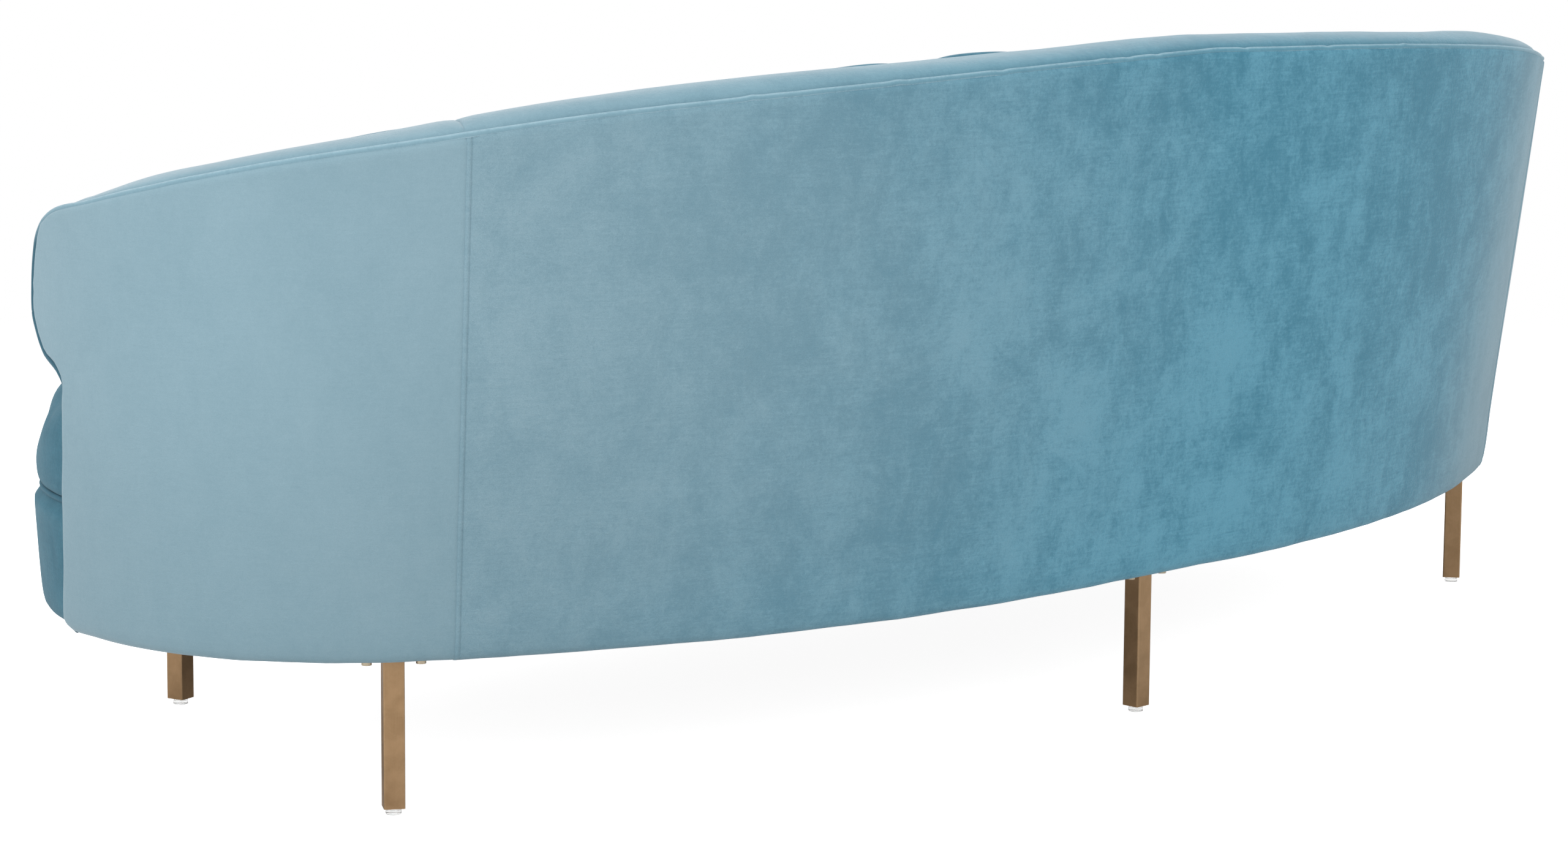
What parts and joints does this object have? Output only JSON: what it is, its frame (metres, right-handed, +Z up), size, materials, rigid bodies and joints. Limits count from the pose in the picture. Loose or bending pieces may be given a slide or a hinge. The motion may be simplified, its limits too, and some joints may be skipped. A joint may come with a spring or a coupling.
{
  "type": "sofa",
  "caption": "Curved tub sofa in teal velvet, with a sloping welted top edge, channelled inside back, one-piece seat and slim square metal legs with levelling glides.",
  "frame": {"origin": "floor level under the middle of the whole sofa", "axes": "+X along the sofa's length, +Y towards its back, +Z up; the seat opens towards -Y"},
  "size_m": [2.2374, 0.9571, 0.7629],
  "materials": {
    "velvet": "teal blue velvet with a mottled nap",
    "velvet_welt": "velvet piping of the same colour",
    "foam": "fibre-wrapped deck foam, hidden",
    "plywood": "unfinished plywood, hidden",
    "webbing": "woven seat webbing, hidden",
    "cambric": "black non-woven cover under the frame",
    "antique_brass": "brushed antique brass on square tube",
    "zinc_steel": "zinc-plated bolts and backing plate",
    "clear_plastic": "clear moulded glide"
  },
  "bodies": {
    "sofa": {"arm_front_post_left": "plywood", "arm_front_post_right": "plywood", "back_post_1_left": "plywood", "back_post_1_right": "plywood", "back_post_2_left": "plywood", "back_post_2_right": "plywood", "back_post_3_left": "plywood", "back_post_3_right": "plywood", "cross_rail_1": "plywood", "cross_rail_2": "plywood", "cross_rail_3": "plywood", "dust_cover": "cambric", "front_band": "velvet", "front_base_board": "plywood", "front_fascia": "plywood", "front_web_rail": "plywood", "inside_arm_pad_left": "velvet", "inside_arm_pad_right": "velvet", "inside_back_pad": "velvet", "leg_bolts_front_left": "zinc_steel", "leg_bolts_front_right": "zinc_steel", "leg_bolts_rear_centre": "zinc_steel", "leg_bolts_side_left": "zinc_steel", "leg_bolts_side_right": "zinc_steel", "leg_front_left": "antique_brass", "leg_front_right": "antique_brass", "leg_rear_centre": "antique_brass", "leg_side_left": "antique_brass", "leg_side_right": "antique_brass", "outer_welt": "velvet_welt", "outside_arm_panel_left": "velvet", "outside_arm_panel_right": "velvet", "outside_back_panel": "velvet", "rear_base_board": "plywood", "rear_web_rail": "plywood", "seat_cushion": "velvet", "seat_deck_pad": "foam", "seat_web_1": "webbing", "seat_web_2": "webbing", "seat_web_3": "webbing", "seat_web_4": "webbing", "seat_web_5": "webbing", "seat_web_6": "webbing", "seat_web_7": "webbing", "seat_welt": "velvet_welt", "tack_rail": "plywood", "top_cap_arm_left": "velvet", "top_cap_arm_right": "velvet", "top_cap_back": "velvet", "top_rail": "plywood"},
    "glide_front_left": {"glide_front_left": "clear_plastic"},
    "glide_front_right": {"glide_front_right": "clear_plastic"},
    "glide_rear_centre": {"glide_rear_centre": "clear_plastic"},
    "glide_side_left": {"glide_side_left": "clear_plastic"},
    "glide_side_right": {"glide_side_right": "clear_plastic"}
  },
  "joints": [
    {"name": "turn_glide_front_left", "type": "hinge", "parent": "sofa", "child": "glide_front_left", "pos_m": [-0.7522, -0.39727, 0.005], "axis": [0, 0, 1], "continuous": true},
    {"name": "turn_glide_front_right", "type": "hinge", "parent": "sofa", "child": "glide_front_right", "pos_m": [0.7522, -0.39727, 0.005], "axis": [0, 0, 1], "continuous": true},
    {"name": "turn_glide_rear_centre", "type": "hinge", "parent": "sofa", "child": "glide_rear_centre", "pos_m": [0, 0.38168, 0.005], "axis": [0, 0, 1], "continuous": true},
    {"name": "turn_glide_side_left", "type": "hinge", "parent": "sofa", "child": "glide_side_left", "pos_m": [-0.92021, 0.16586, 0.005], "axis": [0, 0, 1], "continuous": true},
    {"name": "turn_glide_side_right", "type": "hinge", "parent": "sofa", "child": "glide_side_right", "pos_m": [0.92021, 0.16586, 0.005], "axis": [0, 0, 1], "continuous": true}
  ]
}
